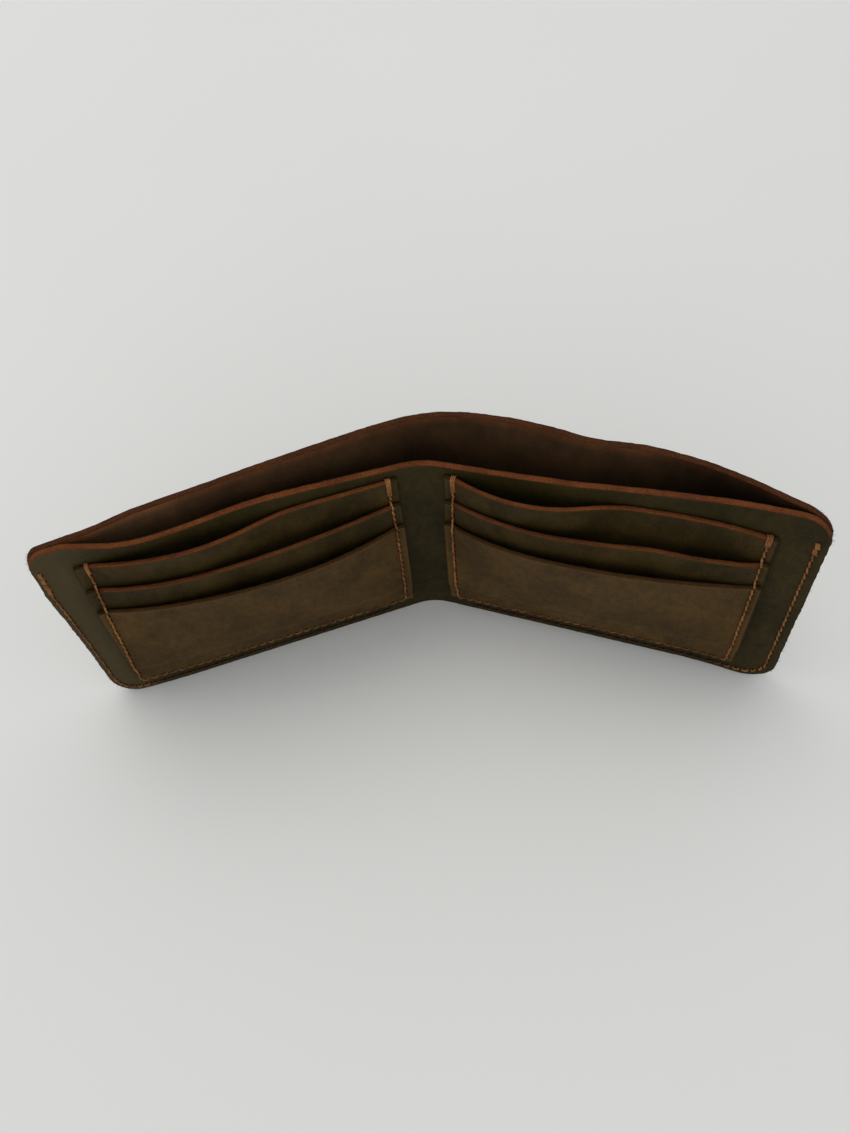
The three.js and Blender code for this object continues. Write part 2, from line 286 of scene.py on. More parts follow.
def ripple(x, y, scale, seed):
    """Smooth noise from -1 to 1 with features about scale wide, the same each run."""
    table = np.random.default_rng(seed).uniform(-1, 1, (64, 64))
    x, y = x / scale + 640, y / scale + 640  # ten tables on, so that no place is negative
    i, j = np.floor(x).astype(int), np.floor(y).astype(int)
    a, b = step_up(x - i), step_up(y - j)
    corner = lambda di, dj: table[(i + di) % 64, (j + dj) % 64]
    low = corner(0, 0) * (1 - a) + corner(1, 0) * a
    high = corner(0, 1) * (1 - a) + corner(1, 1) * a
    return low * (1 - b) + high * b


# ---------------------------------------------------------------- seams


def along(points):
    """Distance of each point from the first one, along the line."""
    return np.concatenate([[0], np.cumsum(np.linalg.norm(np.diff(points, axis=0), axis=1))])


def pocket_seam(side):
    """The seam of a pocket stack: down the spine side, along the bottom and up the far side."""
    corner = 1.2
    turn = np.linspace(0, math.pi / 2, 5)
    foot, top = (LEFT_STITCH_FOOT, LEFT_STITCH_TOP) if side < 0 else (STITCH_END, STITCH_END)
    across, up = corner * (1 - np.cos(turn)), corner * (1 - np.sin(turn))
    near = np.stack([STITCH_START + across, STITCH_BOTTOM + up], 1)
    far = np.stack([foot - up, STITCH_BOTTOM + across], 1)
    points = [(STITCH_START, POCKETS[0][2]), *near, *far, (top, POCKETS[0][2])]
    return np.array(points) * (side, 1)


def edge_seam(side):
    """The seam round the end of a half: along the bottom from the spine, round the corner and up."""
    inset = LEFT_INSET if side < 0 else RIGHT_INSET
    radius = CORNER_RADIUS - inset
    end = HALF_LENGTH - inset
    turn = [
        (end - radius + radius * math.sin(a), EDGE_BOTTOM + radius * (1 - math.cos(a)))
        for a in np.linspace(0, math.pi / 2, 9)
    ]
    top = LEFT_SEAM_TOP if side < 0 else RIGHT_SEAM_TOP
    return np.array([(EDGE_SEAM_START + 1, EDGE_BOTTOM), *turn, (end, top)]) * (side, 1)


def foot_seam(side, index):
    """The straight seam along the hidden foot of a middle or back pocket."""
    height = POCKETS[index][1] + FOOT_SEAM
    return np.array([(STITCH_START + 4, height), (STITCH_END - 4, height)]) * (side, 1)


def stitch_count(points):
    return round(along(points)[-1] / STITCH)


def pitch_of(points):
    return along(points)[-1] / stitch_count(points)


def seam_places(u, z, seams):
    """For each flat point: distance to the nearest seam in mm, and place along it in stitches."""
    best = np.full(u.shape, 99.0)
    place = np.zeros(u.shape)
    for points in seams:
        starts, pitch = along(points), pitch_of(points)
        for (a, b), at in zip(zip(points[:-1], points[1:]), starts):
            run = b - a
            t = np.clip(((u - a[0]) * run[0] + (z - a[1]) * run[1]) / (run @ run), 0, 1)
            distance = np.hypot(u - a[0] - t * run[0], z - a[1] - t * run[1])
            nearer = distance < best
            best = np.where(nearer, distance, best)
            place = np.where(nearer, (at + t * np.linalg.norm(run)) / pitch, place)
    return best, place


# ---------------------------------------------------------------- meshes


def mesh_object(name, points, faces, materials, face_materials=None):
    mesh = bpy.data.meshes.new(name)
    mesh.from_pydata([tuple(p) for p in points], [], [tuple(int(i) for i in f) for f in faces])
    for material in materials:
        mesh.materials.append(material)
    if face_materials is not None:
        mesh.polygons.foreach_set("material_index", np.asarray(face_materials, np.int32))
    mesh.polygons.foreach_set("use_smooth", np.ones(len(faces), bool))
    mesh.validate()
    mesh.update()
    obj = bpy.data.objects.new(name, mesh)
    bpy.context.scene.collection.objects.link(obj)
    return obj


def keep_attribute(obj, name, values):
    values = np.asarray(values, np.float32)
    kind = "FLOAT" if values.ndim == 1 else "FLOAT_VECTOR"
    attribute = obj.data.attributes.new(name, kind, "POINT")
    attribute.data.foreach_set("value" if values.ndim == 1 else "vector", values.ravel())


def sheet_lines(low, high, step, close_to):
    """Grid lines from low to high about step apart, closer together by the seams and edges."""
    lines = [*np.linspace(low, high, max(2, round((high - low) / step) + 1))]
    for at in (low, high):
        lines += [at + d for d in (-1.6, -1.0, -0.5, 0.5, 1.0, 1.6)]
    for at in close_to:
        lines += [at + d for d in (-1.5, -1.0, -0.6, -0.3, 0, 0.3, 0.6, 1.0, 1.5)]
    lines = sorted(x for x in lines if low <= x <= high)
    kept = [lines[0]]
    for x in lines[1:]:
        if x - kept[-1] > 0.22:
            kept.append(x)
    kept[-1] = high
    return np.array(kept)


def leather_sheet(
    name, columns, shares, low, high, back, thickness, seams, materials, seed, rust=np.ones_like, ragged=1.0
):
    """A closed piece of leather with rounded, slightly ragged cut edges.

    low(u) and high(u) are the outline's lower and upper edge, already ARRIS inside the cut edge.
    back(u, z) is the depth of the piece's back. materials are those of its front, back and cut edge.
    rust(u) says how much of the upper edge's rust colour shows."""
    u, share = np.meshgrid(columns, shares, indexing="ij")
    z = low(u) + (high(u) - low(u)) * share
    size = u.size
    index = np.arange(size).reshape(u.shape)
    loop = np.concatenate([index[:-1, 0], index[-1, :-1], index[:0:-1, -1], index[0, :0:-1]])
    edge_u, edge_z = u.ravel()[loop], z.ravel()[loop]
    edge = np.stack([edge_u, edge_z], 1)
    tangent = np.roll(edge, -1, axis=0) - np.roll(edge, 1, axis=0)
    tangent /= np.linalg.norm(tangent, axis=1)[:, None]
    out = np.stack([tangent[:, 1], -tangent[:, 0]], 1)
    arc = along(edge)

    # Front face, then the rings round the cut edge, then the back face
    gap = np.minimum(np.minimum(z - low(u), high(u) - z), np.minimum(u - columns[0], columns[-1] - u))
    flat_u, flat_z, rim, depth_share = [u.ravel()], [z.ravel()], [gap.ravel() + ARRIS], [np.ones(size)]
    for k in range(1, EDGE_RINGS):
        turn = math.pi * k / EDGE_RINGS
        coarse = COARSE * ripple(arc, np.full(len(arc), k * 0.9), COARSE_SIZE, seed)
        rough = coarse + FINE * ripple(arc, np.full(len(arc), k * 1.3), FINE_SIZE, seed + 1)
        reach = ARRIS * math.sin(turn) ** 0.55 + ragged * rough * math.sin(turn)
        flat_u.append(edge_u + out[:, 0] * reach)
        flat_z.append(edge_z + out[:, 1] * reach)
        rim.append(np.zeros(len(loop)))
        share_here = (1 + math.copysign(abs(math.cos(turn)) ** 0.8, math.cos(turn))) / 2
        depth_share.append(np.full(len(loop), share_here))
    flat_u.append(u.ravel())
    flat_z.append(z.ravel())
    rim.append(gap.ravel() + ARRIS)
    depth_share.append(np.zeros(size))
    flat_u, flat_z, rim, depth_share = (np.concatenate(a) for a in (flat_u, flat_z, rim, depth_share))
    flat_z = np.maximum(flat_z, 0)

    lit = rust(edge_u) * np.clip(out[:, 1] * 1.2, 0, 1)
    shared = np.zeros(size)
    shared[loop] = lit
    # Towards the back face the rust colour gives way to the burnished one, as painted shade
    unshaded_share = [step_up((1 - k / EDGE_RINGS - 0.05) / 0.45) for k in range(1, EDGE_RINGS)]
    mouth = np.concatenate([shared, *[lit * front for front in unshaded_share], 0 * shared])

    # The thread pulls both faces in along its seams, and the front face waves a little between them
    distance, place = seam_places(flat_u, flat_z, seams)
    pull = PULL * np.exp(-((distance / PULL_WIDTH) ** 2))
    wave = WAVE * ripple(flat_u, flat_z, WAVE_SIZE, seed + 2)
    wave = wave * np.clip(rim / 3, 0, 1) * np.clip(distance / 4, 0, 1)
    n = back(flat_u, flat_z) - FILL + (thickness + FILL) * depth_share
    n += wave * (depth_share > 0.5) + pull * (1 - 2 * depth_share) * (rim > 0.01)
    points = fold(taper(flat_u, flat_z), flat_z, n)

    quads = np.stack([index[:-1, :-1], index[1:, :-1], index[1:, 1:], index[:-1, 1:]], -1).reshape(-1, 4)
    last = len(points) - size
    between = [size + k * len(loop) + np.arange(len(loop)) for k in range(EDGE_RINGS - 1)]
    rings = [loop, *between, last + loop]
    strips = [np.stack([a, b, np.roll(b, -1), np.roll(a, -1)], 1) for a, b in zip(rings[:-1], rings[1:])]
    faces = np.concatenate([quads, quads[:, ::-1] + last, *strips])
    kinds = np.repeat([0, 1, 2], [len(quads), len(quads), sum(map(len, strips))])
    obj = mesh_object(name, points, faces, materials, kinds)
    keep_attribute(obj, "flat", np.stack([flat_u, flat_z, n], 1))
    keep_attribute(obj, "rim", rim)
    keep_attribute(obj, "mouth", mouth)
    keep_attribute(obj, "seam", np.stack([distance, place, 0 * place], 1))
    return obj


def tube_faces(tubes, stations, sides):
    """Faces of several closed tubes whose points run tube by tube, station by station."""
    ring = np.arange(sides)
    following = np.roll(ring, -1)
    station = np.arange(stations - 1)[:, None] * sides
    corners = [station + ring, station + following, station + sides + following, station + sides + ring]
    quads = np.stack(corners, -1).reshape(-1, 4)
    starts = np.arange(tubes) * stations * sides
    faces = (quads[None] + starts[:, None, None]).reshape(-1, 4).tolist()
    for start in starts:
        faces.append([start + i for i in ring[::-1]])
        faces.append([start + (stations - 1) * sides + i for i in ring])
    return faces


def around(centres, side, out, radius, sides):
    """Rings of points round centre lines, in the plane of side and out."""
    angle = np.linspace(0, 2 * math.pi, sides, endpoint=False)[None, None, :, None]
    return centres[:, :, None] + radius * (np.cos(angle) * side[:, :, None] + np.sin(angle) * out[:, :, None])


def twisted(centres, out, radius, turns, phase, sides=6):
    """Points of two plies twisted round each centre line, as tube, station, side, xyz in flat coordinates."""
    tubes, stations, _ = centres.shape
    tangent = np.gradient(centres, axis=1)
    tangent /= np.linalg.norm(tangent, axis=2, keepdims=True)
    out = out - (out * tangent).sum(2, keepdims=True) * tangent
    out /= np.linalg.norm(out, axis=2, keepdims=True)
    side = np.cross(tangent, out)
    t = np.linspace(0, 1, stations)[None, :, None]
    plies = []
    for ply in (0, math.pi):
        angle = 2 * math.pi * turns * t + phase[:, None, None] + ply
        middle = centres + 0.45 * radius * (np.cos(angle) * side + np.sin(angle) * out)
        plies.append(around(middle, side, out, 0.58 * radius, sides))
    return np.concatenate(plies, 0)


def stitches(path, surface, facing, seed, radius=THREAD / 2, slant=0.16, first=0):
    """Twisted stitches along a flat path from the first one on, each bulging from one hole to the next.

    surface(u, z) is the depth that they lie on. facing is 1 in front of it and -1 behind it."""
    rng = np.random.default_rng(seed)
    at, pitch = along(path), pitch_of(path)
    number = np.arange(first, stitch_count(path))
    t = np.linspace(0, 1, 11)
    place = (number[:, None] + STITCH_INSET + (1 - 2 * STITCH_INSET) * t[None]) * pitch
    u = np.interp(place, at, path[:, 0])
    z = np.interp(place, at, path[:, 1])
    du = np.gradient(u, axis=1)
    dz = np.gradient(z, axis=1)
    size = np.hypot(du, dz)
    du, dz = du / size, dz / size
    lean = slant * (0.5 - t)[None] * 2 * (1 + 0.3 * rng.uniform(-1, 1, (len(number), 1)))
    lean = lean + 0.06 * rng.uniform(-1, 1, (len(number), 1))
    u, z = u + dz * lean, z - du * lean
    # A stitch lies on the surface, or straight from hole to hole where the surface falls away under it
    ground = surface(u, z)
    chord = ground[:, :1] + (ground[:, -1:] - ground[:, :1]) * t[None]
    ground = np.maximum(ground, chord) if facing > 0 else np.minimum(ground, chord)
    dive = (np.abs(2 * t - 1) ** 4)[None]
    bulge = radius * (1 - dive) - 1.3 * radius * dive
    n = ground + facing * (bulge + 0.04 * rng.uniform(-1, 1, (len(number), 1)))
    centres = np.stack([u, z, n], 2)
    out = np.zeros_like(centres)
    out[..., 2] = facing
    phase = rng.uniform(0, 2 * math.pi, len(number))
    return twisted(centres, out, radius, TWISTS, phase)


def fibres(base, aim, seed, shortest=0.3, longest=0.9):
    """Loose fibres as thin tapering tubes, each from a flat base point roughly along its aim."""
    rng = np.random.default_rng(seed)
    count, stations = len(base), 5
    aim = aim + rng.normal(0, 0.45, (count, 3))
    aim /= np.linalg.norm(aim, axis=1, keepdims=True)
    side = np.cross(aim, rng.normal(0, 1, (count, 3)))
    side /= np.linalg.norm(side, axis=1, keepdims=True)
    length = rng.uniform(shortest, longest, (count, 1, 1))
    bend = rng.normal(0, 0.35, (count, 1, 3)) * length
    t = np.linspace(0, 1, stations)[None, :, None]
    middle = base[:, None] + aim[:, None] * (length * t - 0.1) + bend * t * t
    radius = (FIBRE * (1 - 0.7 * t))[:, :, None]
    return around(middle, side[:, None], np.cross(aim, side)[:, None], radius, 3)


def thread_object(name, groups, fuzz, body, replaced):
    """Joins groups of tube points (tube, station, side, xyz) into one piece that rides on a body."""
    points, faces, flat, kinds = [], [], [], []
    for kind, group in [(0, g) for g in groups] + [(1, g) for g in fuzz]:
        tubes, stations, sides, _ = group.shape
        start = sum(map(len, points))
        rows = group.reshape(-1, 3)
        points.append(fold(taper(rows[:, 0], rows[:, 1]), np.maximum(rows[:, 1], 0.02), rows[:, 2]))
        flat.append(rows)
        tube = tube_faces(tubes, stations, sides)
        faces += [[start + i for i in f] for f in tube]
        kinds += [kind] * len(tube)
    materials = [thread_material, fibre_material] if fuzz else [thread_material]
    obj = mesh_object(name, np.concatenate(points), faces, materials, kinds)
    keep_attribute(obj, "flat", np.concatenate(flat))
    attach(obj, body)
    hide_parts(*replaced)


# ---------------------------------------------------------------- materials


class Shader:
    """Short way to build a node material."""

    def __init__(self, name):
        self.material = bpy.data.materials.new(name)
        self.material.use_nodes = True
        self.tree = self.material.node_tree
        self.tree.nodes.clear()
        self.surface = self.node("ShaderNodeBsdfPrincipled")
        output = self.node("ShaderNodeOutputMaterial")
        self.tree.links.new(self.surface.outputs[0], output.inputs[0])

    def node(self, kind, **settings):
        node = self.tree.nodes.new(kind)
        for key, value in settings.items():
            setattr(node, key, value)
        return node

    def put(self, socket, value):
        if isinstance(value, bpy.types.NodeSocket):
            self.tree.links.new(value, socket)
        else:
            socket.default_value = value

    def attribute(self, name, output="Vector"):
        return self.node("ShaderNodeAttribute", attribute_name=name).outputs[output]

    def math(self, operation, a, b=0.0):
        node = self.node("ShaderNodeMath", operation=operation)
        self.put(node.inputs[0], a)
        self.put(node.inputs[1], b)
        return node.outputs[0]

    def split(self, vector):
        node = self.node("ShaderNodeSeparateXYZ")
        self.put(node.inputs[0], vector)
        return node.outputs

    def scaled(self, vector, scale):
        node = self.node("ShaderNodeVectorMath", operation="MULTIPLY")
        self.put(node.inputs[0], vector)
        self.put(node.inputs[1], scale)
        return node.outputs[0]

    def noise(self, vector, scale, detail=3.0, roughness=0.5, distortion=0.0):
        node = self.node("ShaderNodeTexNoise")
        self.put(node.inputs["Vector"], vector)
        self.put(node.inputs["Scale"], scale)
        self.put(node.inputs["Detail"], detail)
        self.put(node.inputs["Roughness"], roughness)
        self.put(node.inputs["Distortion"], distortion)
        return node.outputs[0]

    def cells(self, vector, scale, feature="F1"):
        node = self.node("ShaderNodeTexVoronoi", feature=feature)
        self.put(node.inputs["Vector"], vector)
        self.put(node.inputs["Scale"], scale)
        return node.outputs["Distance"]

    def ramp(self, value, low, high, start=0.0, end=1.0):
        node = self.node("ShaderNodeMapRange", interpolation_type="SMOOTHSTEP")
        for socket, v in zip(node.inputs, (value, low, high, start, end)):
            self.put(socket, v)
        return node.outputs[0]

    def mix(self, factor, a, b, blend="MIX"):
        node = self.node("ShaderNodeMix", data_type="RGBA", blend_type=blend)
        self.put(node.inputs["Factor"], factor)
        for socket, value in ((node.inputs[6], a), (node.inputs[7], b)):
            self.put(socket, (*value, 1.0) if isinstance(value, tuple) else value)
        return node.outputs[2]

    def tinted(self, colour, tint):
        return self.mix(1.0, colour, tint, "MULTIPLY")

    def bump(self, height, distance, strength=1.0, normal=None):
        node = self.node("ShaderNodeBump")
        self.put(node.inputs["Strength"], strength)
        self.put(node.inputs["Distance"], distance)
        self.put(node.inputs["Height"], height)
        if normal is not None:
            self.put(node.inputs["Normal"], normal)
        return node.outputs[0]

    def finish(self, colour, roughness, normal, specular):
        inputs = self.surface.inputs
        self.put(inputs["Base Color"], colour)
        self.put(inputs["Roughness"], roughness)
        self.put(inputs["Normal"], normal)
        self.put(inputs["Specular IOR Level"], specular)
        return self.material


def grain_material(name, dark, mid, worn, worn_share, seed, rim_wear=0.4, painted_sheen_end=0.0):
    """Waxed grain side: cloudy colour, fine pores and creases, rubbed edges and stitch holes.

    rim_wear says how much the cut edges are rubbed; the last argument says how far a painted sheen lightens
    the wallet's left end."""
    s = Shader(name)
    flat = s.attribute("flat")
    shift = s.node("ShaderNodeVectorMath", operation="ADD")
    s.put(shift.inputs[0], flat)
    s.put(shift.inputs[1], (seed * 37.0, seed * 11.0, 0))
    place = s.scaled(shift.outputs[0], (1, 1, 0))
    clouds = s.noise(s.scaled(place, (1, 0.8, 1)), 0.045, 4, 0.6, 0.4)
    mottle = s.noise(s.scaled(place, (1, 0.55, 1)), 0.42, 6, 0.72)
    patches = s.noise(s.scaled(place, (1, 0.55, 1)), 0.085, 6, 0.72, 0.5)
    colour = s.mix(s.ramp(clouds, 0.38, 0.64), dark, mid)
    rubbed = s.math("MULTIPLY", s.ramp(patches, 0.44, 0.68), worn_share)
    colour = s.mix(rubbed, colour, worn)
    darker = s.tinted(colour, (0.5, 0.5, 0.5))
    colour = s.mix(s.ramp(mottle, 0.35, 0.7, 0.0, 0.4), colour, darker)
    speckle = s.noise(s.scaled(place, (1, 0.7, 1)), 1.7, 3, 0.7)
    colour = s.mix(s.ramp(speckle, 0.42, 0.66, 0.0, 0.55), colour, darker)

    # Cut edges are rubbed paler over the first millimetre
    rim = s.attribute("rim", "Fac")
    near = s.math("MULTIPLY", s.ramp(rim, 1.5, 0.4), s.ramp(mottle, 0.3, 0.6, 0.3 * rim_wear, rim_wear))
    colour = s.mix(near, colour, worn)

    # The left end is painted paler and greyer, a painted sheen where it catches the light
    if painted_sheen_end:
        across = s.split(flat)[0]
        colour = s.mix(s.ramp(across, -90, -106, 0.0, painted_sheen_end), colour, (0.10, 0.075, 0.036))

    # Stitch holes, painted near-black as painted shade inside them, and the dark line pressed in under the
    # thread
    distance, stitch, _ = s.split(s.attribute("seam"))
    press = s.ramp(distance, 0.8, 0.15)
    colour = s.mix(s.math("MULTIPLY", press, 0.45), colour, s.tinted(colour, (0.3, 0.27, 0.25)))
    to_hole = s.math("MULTIPLY", s.math("PINGPONG", stitch, 0.5), STITCH)
    squares = s.math("ADD", s.math("POWER", to_hole, 2.0), s.math("POWER", distance, 2.0))
    hole = s.ramp(s.math("SQRT", squares), 0.55, 0.25)
    colour = s.mix(hole, colour, (0.006, 0.004, 0.003))

    pores = s.cells(s.scaled(place, (1, 1.15, 1)), 1.15)
    fine = s.noise(place, 3.4, 3, 0.6)
    crease = s.cells(s.scaled(place, (1.0, 0.8, 1)), 0.42, "DISTANCE_TO_EDGE")
    normal = s.bump(s.ramp(crease, 0.0, 0.16), 0.00004, 0.5)
    normal = s.bump(pores, 0.00007, 0.55, normal)
    normal = s.bump(fine, 0.00005, 0.6, normal)
    normal = s.bump(s.math("MULTIPLY", hole, -1.0), 0.0004, 1.0, normal)
    roughness = s.math("ADD", s.ramp(mottle, 0.3, 0.7, 0.50, 0.66), s.math("MULTIPLY", rubbed, 0.12))
    return s.finish(colour, roughness, normal, specular=0.06)


def flesh_material(name, dark, mid):
    """Flesh side: napped fibres in matted clumps."""
    s = Shader(name)
    place = s.scaled(s.attribute("flat"), (1, 1, 0))
    clumps = s.noise(s.scaled(place, (1.0, 0.6, 1)), 0.12, 5, 0.65, 0.3)
    fibres = s.noise(s.scaled(place, (1.0, 0.7, 1)), 2.4, 4, 0.7, 0.6)
    colour = s.mix(s.ramp(clumps, 0.2, 0.85), dark, mid)
    colour = s.mix(s.ramp(fibres, 0.35, 0.75, 0.0, 0.4), colour, s.tinted(colour, (1.7, 1.5, 1.4)))

    # Painted shade towards the right end and painted light towards the left one: darker there and paler here
    across = s.split(s.attribute("flat"))[0]
    colour = s.mix(s.ramp(across, 55, 85, 0.0, 0.9), colour, s.tinted(colour, (0.25, 0.27, 0.3)))
    colour = s.mix(s.ramp(across, -50, -85, 0.0, 0.8), colour, s.tinted(colour, (2.2, 2.4, 2.5)))

    # Paler along the cut edges, and pressed in under the thread
    rim = s.attribute("rim", "Fac")
    colour = s.mix(s.ramp(rim, 3.8, 0.4, 0.0, 0.65), colour, s.tinted(colour, (2.2, 1.6, 1.35)))
    distance = s.split(s.attribute("seam"))[0]
    colour = s.mix(s.ramp(distance, 1.2, 0.2, 0.0, 0.5), colour, s.tinted(colour, (0.35, 0.3, 0.3)))
    normal = s.bump(clumps, 0.0003, 0.4)
    normal = s.bump(fibres, 0.00014, 0.8, normal)
    return s.finish(colour, 0.92, normal, specular=0.04)


def edge_material(name, dark, mid, burnished):
    """Raw cut edge: rust-coloured fibres along the open mouths, rubbed dark elsewhere, with painted shade
    darkening the back of the edge.
    """
    s = Shader(name)
    place = s.attribute("flat")
    patches = s.noise(place, 0.10, 4, 0.6)
    fibres = s.noise(s.scaled(place, (1, 1, 2.2)), 2.1, 4, 0.7)
    colour = s.mix(s.ramp(patches, 0.25, 0.70, 0.3, 0.9), dark, mid)
    colour = s.mix(s.ramp(s.attribute("mouth", "Fac"), 0.0, 1.0), burnished, colour)
    colour = s.mix(s.ramp(fibres, 0.38, 0.62, 0.0, 0.85), colour, s.tinted(colour, (0.45, 0.4, 0.38)))
    normal = s.bump(fibres, 0.00022, 0.8)
    normal = s.bump(s.noise(place, 6.0, 3, 0.6), 0.00008, 0.7, normal)
    return s.finish(colour, 0.82, normal, specular=0.06)


def make_thread_material():
    """Waxed thread, its tint changing along the seam and darker along the bottom edge."""
    s = Shader("waxed_thread")
    place = s.attribute("flat")
    tint = s.noise(place, 0.22, 3, 0.6)
    strands = s.noise(s.scaled(place, (1.5, 1.5, 3)), 4.5, 3, 0.6)
    colour = s.mix(s.ramp(tint, 0.32, 0.68), (0.20, 0.074, 0.023), (0.43, 0.190, 0.066))
    colour = s.mix(s.ramp(strands, 0.35, 0.7, 0.0, 0.55), colour, s.tinted(colour, (0.4, 0.35, 0.3)))
    across, height, _ = s.split(place)
    inner = s.ramp(s.math("ABSOLUTE", across), 104, 94)
    low = s.math("MULTIPLY", inner, s.ramp(height, 13.5, 12.0))
    bottom_darkening = s.math("MULTIPLY", s.ramp(height, 12.5, 3.2, 0.38, 0.92), low)
    colour = s.mix(bottom_darkening, colour, (0.035, 0.022, 0.009))
    normal = s.bump(strands, 0.00009, 0.7)
    return s.finish(colour, 0.6, normal, specular=0.14)


def make_fibre_material():
    s = Shader("loose_fibre")
    tint = s.noise(s.attribute("flat"), 0.4, 3, 0.6)
    colour = s.mix(s.ramp(tint, 0.35, 0.65), (0.040, 0.018, 0.008), (0.20, 0.072, 0.024))
    return s.finish(colour, 0.8, s.bump(tint, 0.00001, 0.2), specular=0.1)


def make_floor_material():
    s = Shader("pale_paper")
    place = s.node("ShaderNodeTexCoord").outputs["Object"]
    broad = s.noise(place, 3.0, 3, 0.5)
    colour = s.mix(s.ramp(broad, 0.3, 0.7), (0.78, 0.775, 0.75), (0.80, 0.795, 0.77))
    normal = s.bump(s.noise(place, 900.0, 2, 0.5), 0.00002, 0.3)
    return s.finish(colour, 0.85, normal, specular=0.15)


liner_grain = grain_material(
    "liner_grain",
    dark=(0.027, 0.0205, 0.0054),
    mid=(0.040, 0.0290, 0.0082),
    worn=(0.085, 0.052, 0.017),
    worn_share=0.2,
    seed=1,
    rim_wear=0.15,
    # painted sheen: the left end is painted paler
    painted_sheen_end=0.45,
)
deep_grain = grain_material(
    "deep_pocket_grain",
    dark=(0.030, 0.0205, 0.0056),
    mid=(0.052, 0.0335, 0.0097),
    worn=(0.11, 0.062, 0.019),
    worn_share=0.25,
    seed=4,
    rim_wear=0.2,
)
pocket_grain = grain_material(
    "pocket_grain",
    dark=(0.055, 0.0305, 0.0080),
    mid=(0.080, 0.0435, 0.0113),
    worn=(0.135, 0.073, 0.018),
    worn_share=0.4,
    seed=2,
    rim_wear=0.35,
)
shell_grain = grain_material(
    "shell_grain",
    dark=(0.044, 0.028, 0.0078),
    mid=(0.060, 0.036, 0.0100),
    worn=(0.095, 0.055, 0.0150),
    worn_share=0.3,
    seed=3,
)
flesh = flesh_material("flesh_side", dark=(0.030, 0.017, 0.008), mid=(0.060, 0.031, 0.014))
cut_edge = edge_material(
    "cut_edge", dark=(0.085, 0.027, 0.010), mid=(0.23, 0.069, 0.021), burnished=(0.046, 0.030, 0.010)
)
shell_edge = edge_material(
    "shell_edge", dark=(0.050, 0.018, 0.008), mid=(0.105, 0.036, 0.013), burnished=(0.030, 0.017, 0.008)
)
thread_material = make_thread_material()
fibre_material = make_fibre_material()

# ---------------------------------------------------------------- leather pieces


def inset_rise(u, left=CORNER_RADIUS, right=CORNER_RADIUS):
    """How far the outline has turned in over its round corners, ARRIS inside the cut edge."""
    radius = np.where(u < 0, left, right)
    x = np.maximum(0, np.abs(u) - (HALF_LENGTH - radius))
    return radius - np.sqrt(np.maximum(0, (radius - ARRIS) ** 2 - x**2))


def worn_down(u, start, power):
    """The top edge falls towards the left end."""
    return CORNER_DROP * np.clip((-u - start) / (HALF_LENGTH - start), 0, 1) ** power


def top_turn(u, start, power):
    """How far the top edge lies below its straight line."""
    return worn_down(u, start, power) + inset_rise(u, TOP_LEFT_RADIUS, TOP_RIGHT_RADIUS)


def shell_high(u):
    return HEIGHT - top_turn(u, *SHELL_FALL)


def liner_high(u):
    return liner_top(u) - top_turn(u, *LINER_FALL)


def full_columns():
    """Columns of the shell and the liner, with enough of them round the end corners."""
    straight = HALF_LENGTH - CORNER_RADIUS
    corner = straight + (CORNER_RADIUS - ARRIS) * np.sin(np.linspace(0, math.pi / 2, 15)[1:])
    inner = sheet_lines(0, straight, 1.15, (STITCH_START, STITCH_END))
    half = np.concatenate([inner[inner < straight - 0.3], [straight], corner])
    return np.concatenate([-half[:0:-1], half])


edge_seams = [edge_seam(-1), edge_seam(1)]
full_shares = sheet_lines(0, HEIGHT, 1.2, (STITCH_BOTTOM,)) / HEIGHT

shell = leather_sheet(
    "outer_shell",
    full_columns(),
    full_shares,
    inset_rise,
    shell_high,
    lambda u, z: shell_behind(u, z) + FILL,
    SHELL_THICKNESS - FILL,
    edge_seams,
    [flesh, shell_grain, shell_edge],
    10,
    ragged=SHELL_RAGGED,
)
liner = leather_sheet(
    "liner",
    full_columns(),
    full_shares,
    inset_rise,
    liner_high,
    liner_bow,
    LINER_THICKNESS,
    [pocket_seam(-1), edge_seams[0], pocket_seam(1), edge_seams[1]],
    [liner_grain, flesh, cut_edge],
    20,
    ragged=LINER_RAGGED,
)
for piece, nodes, slot, reach in (
    (shell, "outer_shell", "shell_leather", SHELL_REACH),
    (liner, "liner", "liner_leather", LINER_REACH),
):
    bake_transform(piece)
    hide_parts(f"{nodes}_left", f"{nodes}_spine", f"{nodes}_right")

# Full length of the shell and the liner at each millimetre of height
lengths = HALF_LENGTH - taper(-HALF_LENGTH, np.arange(0.5, HEIGHT))


def cut_area(high):
    """Area of a full-length piece in square metres, without its round corners and its short left end."""
    u = np.arange(0.5 - HALF_LENGTH, HALF_LENGTH)
    return (high(u) - inset_rise(u)).sum() * lengths.mean() / (2 * HALF_LENGTH) * MM * MM


cut_area(shell_high)
cut_area(liner_high)

MOUTH_RUST = (0.85, 0.65, 0.3)  # how much rust shows along the back, middle and front pockets' mouths


def mouth_rust(index, far):
    """The rust colour along a pocket's mouth, which fades out at the seams."""

    def share(u):
        s = np.abs(u)
        return MOUTH_RUST[index] * step_up((far - s) / 1.2) * step_up((s - STITCH_START + 0.5) / 1.2)

    return share


def level(height):
    """A straight edge at a height."""
    return lambda u: height + 0 * u


